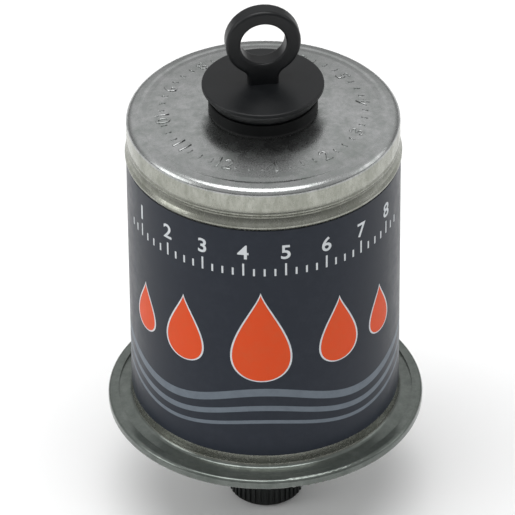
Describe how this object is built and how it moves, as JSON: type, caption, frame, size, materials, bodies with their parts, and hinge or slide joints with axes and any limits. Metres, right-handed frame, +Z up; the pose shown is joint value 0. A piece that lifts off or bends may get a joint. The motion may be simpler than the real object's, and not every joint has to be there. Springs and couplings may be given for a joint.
{
  "type": "automatic lubricator",
  "caption": "Gas-driven grease lubricator: a steel can with a piston and grease inside, an eyelet activator screw on its lid and a capped threaded outlet below.",
  "frame": {"origin": "on the floor under the centre of the transport cap", "axes": "+Z up along the can's axis, from the outlet to the eyelet; the eyelet's hole runs along Y"},
  "size_m": [0.0766, 0.0766, 0.1402],
  "materials": {
    "can_steel": "satin",
    "dish_steel": "satin",
    "spring_steel": "satin",
    "label_film": "gloss",
    "collar_plastic": "satin",
    "activator_plastic": "satin",
    "cup_plastic": "matte",
    "pellet_metal": "matte",
    "piston_plastic": "satin",
    "seal_rubber": "matte",
    "gasket_rubber": "matte",
    "seam_rubber": "matte",
    "bag_rubber": "satin",
    "electrolyte_liquid": "gloss",
    "grease": "gloss",
    "nipple_plastic": "satin",
    "nut_plastic": "satin",
    "cap_plastic": "satin",
    "liner_plastic": "matte"
  },
  "bodies": {
    "can": {"can_shell": "can_steel", "base_dish": "dish_steel", "seam_gasket": "seam_rubber", "label_sleeve": "label_film", "collar_bush": "collar_plastic", "collar_gasket": "gasket_rubber", "collar_lock_ring": "spring_steel", "electrolyte_bellows": "bag_rubber", "bellows_clamp_ring": "spring_steel", "grease_charge": "grease", "outlet_nipple": "nipple_plastic", "nipple_gasket": "gasket_rubber", "nipple_lock_nut": "nut_plastic"},
    "piston": {"piston": "piston_plastic", "piston_lip_seal": "seal_rubber", "electrolyte": "electrolyte_liquid"},
    "screw_seal": {"screw_o_ring": "gasket_rubber"},
    "activator": {"activator_screw": "activator_plastic", "gas_cell_cup": "cup_plastic", "zinc_pellets": "pellet_metal"},
    "cap_seal": {"cap_liner": "liner_plastic"},
    "cap": {"transport_cap": "cap_plastic"}
  },
  "joints": [
    {"name": "activator_lift", "type": "slide", "parent": "can", "child": "screw_seal", "axis": [0, 0, 1], "range_m": [0, 0.00901]},
    {"name": "activator_turn", "type": "hinge", "parent": "screw_seal", "child": "activator", "pos_m": [0, 0, 0.115], "axis": [0, 0, 1], "range_deg": [0, 1080]},
    {"name": "cap_lower", "type": "slide", "parent": "can", "child": "cap_seal", "axis": [0, 0, -1], "range_m": [0, 0.01204]},
    {"name": "cap_turn", "type": "hinge", "parent": "cap_seal", "child": "cap", "pos_m": [0, 0, 0.008], "axis": [0, 0, -1], "range_deg": [0, 3240]},
    {"name": "piston_slide", "type": "slide", "parent": "can", "child": "piston", "axis": [0, 0, -1], "range_m": [0, 0.0375], "deforming": ["electrolyte_bellows", "grease_charge"]}
  ],
  "couplings": [
    {"joint": "activator_lift", "follows": "activator_turn", "m_per_rad": 0.00047746},
    {"joint": "cap_lower", "follows": "cap_turn", "m_per_rad": 0.00021276}
  ]
}
